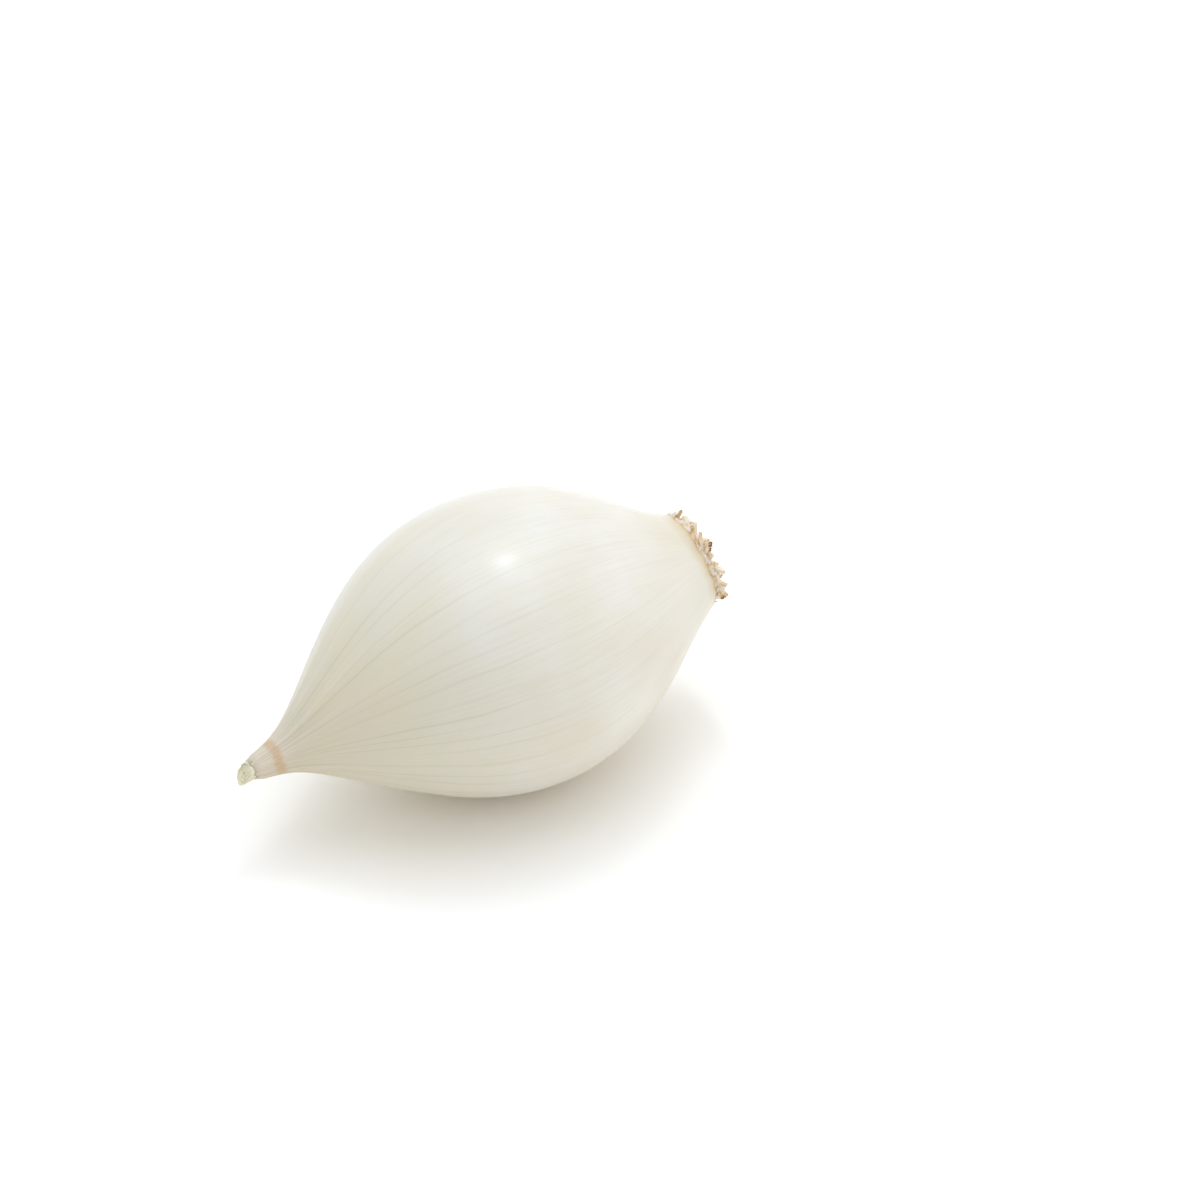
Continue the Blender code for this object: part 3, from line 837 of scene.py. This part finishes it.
def dry_skin():
    """Torn dry onion skin: thin as paper and a little shiny, whitish at its edge and tan at its foot."""
    material, tree = finish_of("dry_skin")
    growth = add(tree, "Attribute", attribute_name="growth").outputs["Vector"]
    parts = add(tree, "SeparateXYZ", [(0, growth)])
    place = add(tree, "TexCoord").outputs["Object"]
    patches = add(tree, "TexNoise", [("Vector", place), ("Scale", 1 / (0.8 * MM)), ("Detail", 3.0)])
    tone = patches
    for cause, share in ((parts.outputs["X"], 0.6), (parts.outputs["Y"], 0.4)):
        tone = add(tree, "Math", [(0, cause), (1, share), (2, tone)], operation="MULTIPLY_ADD")
    tone = add(tree, "MapRange", [(0, tone), (1, 0.4), (2, 1.3)])
    base = add(tree, "ValToRGB", [(0, tone)])
    shades(base, ((0.0, "#B98B55"), (0.35, "#D9B98C"), (0.65, "#E6D8C4"), (1.0, "#ECE4DA")))
    bump = add(tree, "Bump", [("Height", patches), ("Strength", 0.4), ("Distance", 0.1 * MM)])
    shader = add(tree, "BsdfPrincipled", [
        ("Base Color", base),
        ("Roughness", 0.5),
        ("Subsurface Weight", 0.3),
        ("Subsurface Radius", (1.0, 0.85, 0.7)),
        ("Subsurface Scale", 0.5 * MM),
        ("Normal", bump),
    ])
    tree.links.new(shader.outputs[0], tree.nodes["Material Output"].inputs["Surface"])
    return material


flakes = laid_piece("rim_flakes", *rim_flakes())
flakes.data.materials.append(dry_skin())
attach(flakes, "root")
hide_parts("root_plate")


# The inner leaves
# The ends of the leaves inside the neck, one sheath in another, cut with it and dried a little less. They are
# pale yellowish green, fill the neck's mouth, and stand out further on the lower side.

LEAF_STAND_OUT = 1.3 * MM
LEAF_RAGGED = 0.3 * MM
LEAF_SLANT = 0.75
LEAF_RADIUS = 2.21 * MM
LEAF_OFF_CENTRE = 0.03 * MM  # towards the neck's upper side
LEAF_SIDES = 144
LEAF_RINGS = 90
LEAF_SIDE_STEP = 0.4 * MM
SHEATH_WAVES = 0.5
LEAF_PLEATS = 0.035
# How far the waves, pleats and torn edges turn round the leaf from its side to its middle, in radians
SHEATH_TWIST, PLEAT_TWIST, TORN_TWIST = 3, 2, 6
LEAF_FIBRE_WIDE = 0.1579 * MM
LEAF_FIBRE_LONG = 1.94 * MM
# The cut through the sheaths, from the middle out: share of the radius, and how deep it lies
LEAF_CUT = (
    (0.08, 0.22 * MM),
    (0.20, 0.16 * MM),
    (0.34, 0.12 * MM),
    (0.42, 0.14 * MM),
    (0.47, 0.30 * MM),
    (0.52, 0.30 * MM),
    (0.58, 0.10 * MM),
    (0.70, 0.06 * MM),
    (0.745, 0.22 * MM),
    (0.79, 0.22 * MM),
    (0.85, 0.04 * MM),
    (0.95, 0.00 * MM),
    (1.00, 0.15 * MM),
)
leaf_pleats = waves((7, 11, 15), SEED + 6)
sheath_waves = waves((2, 3, 5), SEED + 10)


def leaf_profile():
    """From the middle over the cut to the side, and down into the neck."""
    foot = BULB_HEIGHT - MOUTH_DEPTH + SOLID_GAP
    top = BULB_HEIGHT + LEAF_STAND_OUT
    cut = [(share * LEAF_RADIUS, top - deep) for share, deep in LEAF_CUT]
    side = [(LEAF_RADIUS, BULB_HEIGHT - LEAF_SIDE_STEP * i) for i in range(1, 6)] + [(LEAF_RADIUS, foot)]
    return [(0, cut[0][1])] + [tuple(point) for point in spline(cut, LEAF_RINGS)] + side + [(0, foot)]


def leaf_shape(angle, radius, height):
    """The cut sheaths, which wave and twist a little towards the middle and are torn at their side."""
    torn = grown(height, BULB_HEIGHT - 0.5 * MM, BULB_HEIGHT + LEAF_STAND_OUT)
    inside = 1 - radius / LEAF_RADIUS
    slant = LEAF_SLANT * radius * np.cos(angle)
    sheaths = radius * (1 + SHEATH_WAVES * inside * sheath_waves(angle + SHEATH_TWIST * inside))
    pleated = sheaths * (1 + LEAF_PLEATS * leaf_pleats(angle + PLEAT_TWIST * inside))
    twisted = angle + TORN_TWIST * inside
    ragged = LEAF_RAGGED * (tears(twisted) + 0.5 * fine_tears(twisted)) * (1 - 0.7 * eased(4 * inside))
    return pleated, height + torn * (ragged - slant), height / BULB_HEIGHT


def green_leaf():
    """A cut leaf end that has half dried: pale yellowish green and satin, with lighter fibres along it, and a
    little browner at its tips."""
    material, tree = finish_of("green_leaf")
    growth = add(tree, "Attribute", attribute_name="growth").outputs["Vector"]
    share = add(tree, "SeparateXYZ", [(0, growth)]).outputs["Z"]
    stretch = (LEAF_RADIUS / LEAF_FIBRE_WIDE, LEAF_RADIUS / LEAF_FIBRE_WIDE, BULB_HEIGHT / LEAF_FIBRE_LONG)
    along = add(tree, "VectorMath", [(0, growth), (1, stretch)], operation="MULTIPLY")
    fibres = add(tree, "TexNoise", [("Vector", along), ("Scale", 1.0), ("Detail", 3.0)])
    mixed = add(tree, "MapRange", [(0, fibres), (1, 0.3), (2, 0.7)])
    dried = add(tree, "MapRange", [(0, share), (1, 1.004), (2, 1.012), (4, 0.35)])
    tint = colour("#D8D6B4")
    for mask, over in ((mixed, colour("#E8E6D2")), (dried, colour("#D3CBAE"))):
        tint = add(tree, "Mix", [(0, mask), (6, tint), (7, over)], data_type="RGBA").outputs[2]
    bump = add(tree, "Bump", [("Height", fibres), ("Strength", 0.3), ("Distance", 0.1 * MM)])
    shader = add(tree, "BsdfPrincipled", [
        ("Base Color", tint),
        ("Roughness", 0.5),
        ("Subsurface Weight", 0.5),
        ("Subsurface Radius", (1.0, 0.95, 0.8)),
        ("Subsurface Scale", 0.8 * MM),
        ("Normal", bump),
    ])
    tree.links.new(shader.outputs[0], tree.nodes["Material Output"].inputs["Surface"])
    return material


leaf_points, leaf_faces, leaf_growth = revolved(leaf_profile(), LEAF_SIDES, leaf_shape)
leaves = laid_piece("leaf_ends", leaf_points + (LEAF_OFF_CENTRE, 0, 0), leaf_faces, leaf_growth)
leaves.data.materials.append(green_leaf())
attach(leaves, "root")
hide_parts("neck_leaves")


# The studio
# A white table in a pale room, a little warm at the height of the table and cooler overhead. A wide soft box
# above gives the soft shade, and a small lamp with a glow round it makes the bright patch on the belly.

PICTURE_POINTS = 1200
POINT = 0.2288 * MM  # what one point of the picture spans at the onion
LENS = 150.0
SENSOR = 36.0
CAMERA_AZIMUTH = math.radians(-30)
CAMERA_ELEVATION = math.radians(38)
AIM_RIGHT = 119.8 * POINT  # the picture's middle, from the middle of the onion's box
AIM_UP = 51.4 * POINT
CAMERA_DISTANCE = PICTURE_POINTS * POINT * LENS / SENSOR

right = Vector((math.cos(CAMERA_AZIMUTH), math.sin(CAMERA_AZIMUTH), 0))
away = Vector((-math.sin(CAMERA_AZIMUTH), math.cos(CAMERA_AZIMUTH), 0))
towards = Vector((0, 0, math.sin(CAMERA_ELEVATION))) - away * math.cos(CAMERA_ELEVATION)
up = towards.cross(right)
middle = (solid_box[0] + solid_box[1]) / 2
aim = middle + right * AIM_RIGHT + up * AIM_UP

camera_data = bpy.data.cameras.new("camera")
camera_data.lens = LENS
camera_data.sensor_width = SENSOR
camera_data.clip_start = 0.01
camera = bpy.data.objects.new("camera", camera_data)
camera.location = aim + towards * CAMERA_DISTANCE
camera.rotation_euler = towards.to_track_quat("Z", "Y").to_euler()
bpy.context.scene.collection.objects.link(camera)
bpy.context.scene.camera = camera

# Each lamp: length along the onion and width across it, distance, power, colour, and the way to it along
# right, away and up
LAMPS = (
    ("small_lamp", 0.10, 0.20, 0.9, 0.60, "#E6F0FF", (0.07, 0.30, 0.945)),
    ("lamp_glow", 0.18, 0.62, 0.9, 0.56, "#E6F0FF", (0.08, 0.26, 0.95)),
    ("soft_box", 1.1, 1.1, 1.0, 3.2, "#E8F1FF", (0.05, 0.15, 0.95)),
)
for name, length, width, distance, power, tint, way in LAMPS:
    lamp_data = bpy.data.lights.new(name, "AREA")
    lamp_data.shape = "ELLIPSE"
    lamp_data.size, lamp_data.size_y = length, width
    lamp_data.energy = power
    lamp_data.color = colour(tint)[:3]
    lamp = bpy.data.objects.new(name, lamp_data)
    lamp_way = (right * way[0] + away * way[1] + Vector((0, 0, way[2]))).normalized()
    lamp.location = middle + lamp_way * distance
    across = lamp_way.cross(Vector((1, 0, 0))).normalized()
    lamp.rotation_euler = Matrix((across.cross(lamp_way), across, lamp_way)).transposed().to_euler()
    bpy.context.scene.collection.objects.link(lamp)

ROOM_STRENGTH = 0.97
room = bpy.data.worlds.new("pale_room")
bpy.context.scene.world = room
room.use_nodes = True
upwards = add(room.node_tree, "SeparateXYZ", [(0, add(room.node_tree, "TexCoord").outputs["Generated"])])
overhead = add(room.node_tree, "MapRange", [(0, upwards.outputs["Z"]), (1, 0.0), (2, 0.7)])
walls = [(0, overhead), (6, colour("#FFEDCE")), (7, colour("#F2F7FF"))]
walls = add(room.node_tree, "Mix", walls, data_type="RGBA")
background = room.node_tree.nodes["Background"]
background.inputs["Strength"].default_value = ROOM_STRENGTH
room.node_tree.links.new(walls.outputs[2], background.inputs["Color"])
bpy.context.scene.view_settings.view_transform = "Standard"

FLOOR_HALF = 3.0
floor_mesh = bpy.data.meshes.new("table")
corners = [(-FLOOR_HALF, -FLOOR_HALF, 0), (FLOOR_HALF, -FLOOR_HALF, 0), (FLOOR_HALF, FLOOR_HALF, 0)]
floor_mesh.from_pydata(corners + [(-FLOOR_HALF, FLOOR_HALF, 0)], [], [(0, 1, 2, 3)])
table = bpy.data.objects.new("table", floor_mesh)
bpy.context.scene.collection.objects.link(table)
# Matt white paint: it has no gleam, so the table shows nothing but the soft shade
paint, paint_tree = finish_of("matt_white_paint")
paint_shader = add(paint_tree, "BsdfPrincipled", [("Base Color", colour("#FBF9F4")), ("Roughness", 0.9)])
paint_tree.links.new(paint_shader.outputs[0], paint_tree.nodes["Material Output"].inputs["Surface"])
floor_mesh.materials.append(paint)
